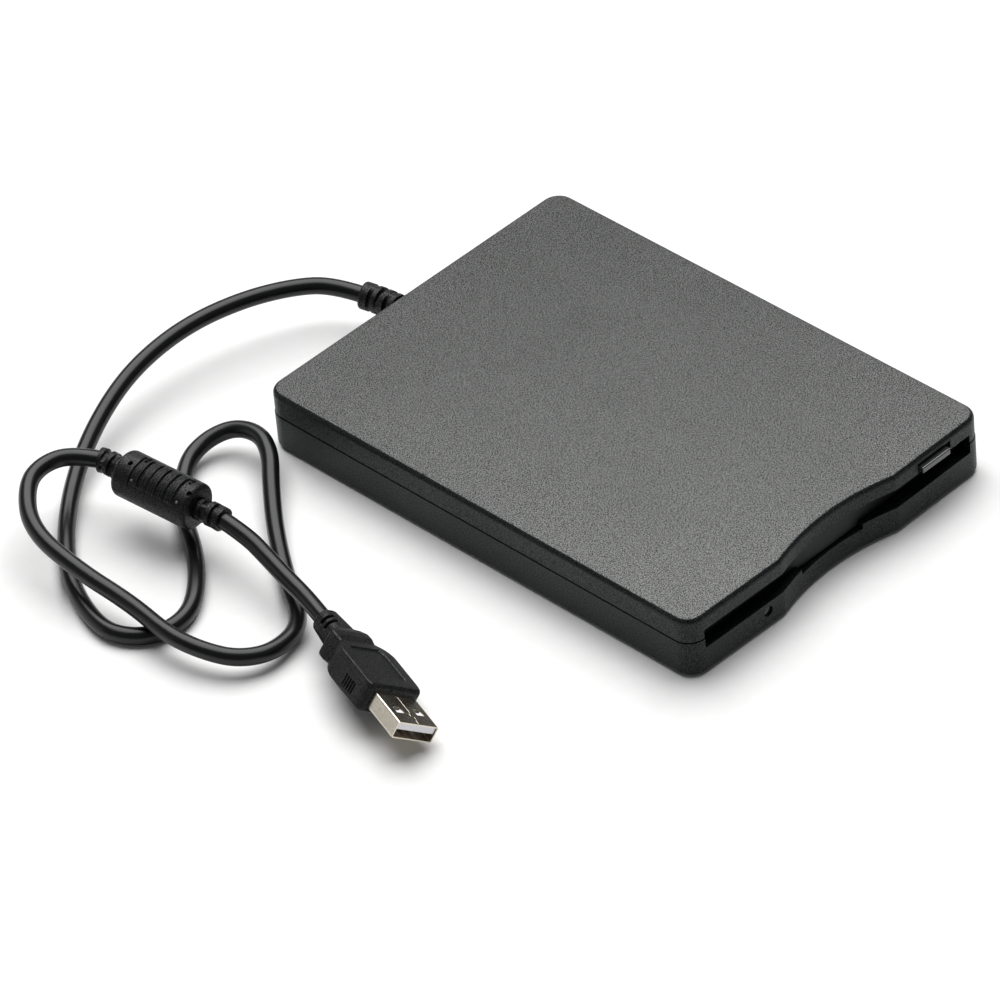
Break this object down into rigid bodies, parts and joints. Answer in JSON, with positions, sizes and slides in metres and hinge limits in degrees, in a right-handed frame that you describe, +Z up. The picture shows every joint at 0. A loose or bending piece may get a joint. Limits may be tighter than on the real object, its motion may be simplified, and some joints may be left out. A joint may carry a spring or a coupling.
{
  "type": "external floppy disk drive",
  "caption": "Slim external floppy disk drive: two-shell case with scooped front, flap slot, eject button, status light, load mechanism and a captive lead with ferrite sleeve and flat plug",
  "frame": {"origin": "on the table under the middle of the case", "axes": "+Z up, -Y towards the user at the disk slot, +X to the right seen from the front"},
  "size_m": [0.1812, 0.1821, 0.0207],
  "materials": {
    "screw_black": "black oxide",
    "sheet_steel": "zinc plated sheet",
    "bright_steel": "bright turned steel",
    "mould_black": "matt soft overmould",
    "cord_black": "satin cable jacket",
    "button_black": "satin moulded plastic",
    "foot_rubber": "matt black rubber",
    "carriage_black": "glass filled plastic",
    "led_pale": "clear resin",
    "lens_dark": "smoked clear plastic",
    "head_ceramic": "polished ceramic",
    "case_black": "fine textured moulded plastic",
    "circuit_green": "green solder mask",
    "chip_black": "moulded chip package",
    "contact_gold": "gold plated",
    "plug_steel": "nickel plated steel",
    "tongue_white": "white moulded insulator",
    "plunger_white": "white acetal",
    "ribbon_white": "flat flexible cable",
    "magnet_grey": "bonded ferrite",
    "door_black": "smooth dark moulded plastic",
    "bearing_brass": "sintered bearing metal",
    "motor_metal": "drawn and plated metal",
    "coil_copper": "lacquered copper wire"
  },
  "bodies": {
    "case": {"case_screw_1": "screw_black", "case_screw_2": "screw_black", "chassis": "sheet_steel", "chassis_screw_1": "screw_black", "chassis_screw_2": "screw_black", "chassis_screw_3": "screw_black", "chassis_screw_4": "screw_black", "cord_boot": "mould_black", "cord_tube_1": "cord_black", "cord_tube_2": "cord_black", "cover_screws": "bright_steel", "ferrite_sleeve": "mould_black", "foot_1": "foot_rubber", "foot_2": "foot_rubber", "foot_3": "foot_rubber", "foot_4": "foot_rubber", "guide_rod": "bright_steel", "led": "led_pale", "light_pipe": "lens_dark", "lower_shell": "case_black", "main_board": "circuit_green", "main_chips": "chip_black", "media_switches": "chip_black", "motor_board": "circuit_green", "plug_contacts": "contact_gold", "plug_overmould": "mould_black", "plug_shell": "plug_steel", "plug_tongue": "tongue_white", "ribbon_cable": "ribbon_white", "rod_clamps": "carriage_black", "spindle_bearing": "bearing_brass", "stator_coils": "coil_copper", "stepper_bracket": "sheet_steel", "stepper_motor": "motor_metal", "switch_boards": "circuit_green", "top_cover": "sheet_steel", "upper_shell": "case_black", "usb_board": "circuit_green", "usb_chips": "chip_black"},
    "slider": {"eject_slider": "sheet_steel", "eject_button": "button_black"},
    "holder": {"disk_holder": "sheet_steel", "holder_pins": "bright_steel"},
    "lever": {"shutter_lever": "sheet_steel"},
    "door": {"slot_door": "door_black"},
    "spindle": {"spindle_rotor": "motor_metal", "rotor_magnet": "magnet_grey", "spindle_shaft": "bright_steel", "chuck_plate": "bright_steel"},
    "carriage": {"head_carriage": "carriage_black", "lower_head": "head_ceramic"},
    "arm": {"head_arm": "carriage_black", "upper_head": "head_ceramic"},
    "screw": {"lead_screw": "bright_steel"},
    "plunger_a": {"plunger_1": "plunger_white"},
    "plunger_b": {"plunger_2": "plunger_white"},
    "plunger_c": {"plunger_3": "plunger_white"}
  },
  "joints": [
    {"name": "eject_slide", "type": "slide", "parent": "case", "child": "slider", "axis": [0, -1, 0], "range_m": [0, 0.0046]},
    {"name": "holder_drop", "type": "slide", "parent": "case", "child": "holder", "axis": [0, 0, -1], "range_m": [0, 0.0022]},
    {"name": "door_swing", "type": "hinge", "parent": "case", "child": "door", "pos_m": [0, -0.067, 0.0125], "axis": [1, 0, 0], "range_deg": [0, 88], "stiffness_Nm_per_rad": 0.0002, "springref_deg": -22.92},
    {"name": "spindle_turn", "type": "hinge", "parent": "case", "child": "spindle", "pos_m": [0, -0.016, 0.005], "axis": [0, 0, 1], "continuous": true},
    {"name": "carriage_slide", "type": "slide", "parent": "case", "child": "carriage", "axis": [0, -1, 0], "range_m": [0, 0.01481]},
    {"name": "lead_screw_turn", "type": "hinge", "parent": "case", "child": "screw", "pos_m": [0.016, 0.0403, 0.0072], "axis": [0, 1, 0], "range_deg": [0, 1422]},
    {"name": "head_arm_turn", "type": "hinge", "parent": "carriage", "child": "arm", "pos_m": [0, 0.052, 0.0111], "axis": [1, 0, 0], "range_deg": [0, 7.66]},
    {"name": "shutter_lever_turn", "type": "hinge", "parent": "holder", "child": "lever", "pos_m": [0.032, 0.024, 0.0131], "axis": [0, 0, 1], "range_deg": [-50, 0], "stiffness_Nm_per_rad": 0.0002, "springref_deg": 11.46},
    {"name": "plunger_press_a", "type": "slide", "parent": "case", "child": "plunger_a", "axis": [0, 0, -1], "range_m": [0, 0.0015], "stiffness_N_per_m": 60, "springref_m": -0.001},
    {"name": "plunger_press_b", "type": "slide", "parent": "case", "child": "plunger_b", "axis": [0, 0, -1], "range_m": [0, 0.0015], "stiffness_N_per_m": 60, "springref_m": -0.001},
    {"name": "plunger_press_c", "type": "slide", "parent": "case", "child": "plunger_c", "axis": [0, 0, -1], "range_m": [0, 0.0015], "stiffness_N_per_m": 60, "springref_m": -0.001}
  ],
  "couplings": [
    {"joint": "holder_drop", "follows": "eject_slide", "ratio": 0.47826},
    {"joint": "head_arm_turn", "follows": "eject_slide", "rad_per_m": 29.02},
    {"joint": "lead_screw_turn", "follows": "carriage_slide", "rad_per_m": 1675.5}
  ]
}
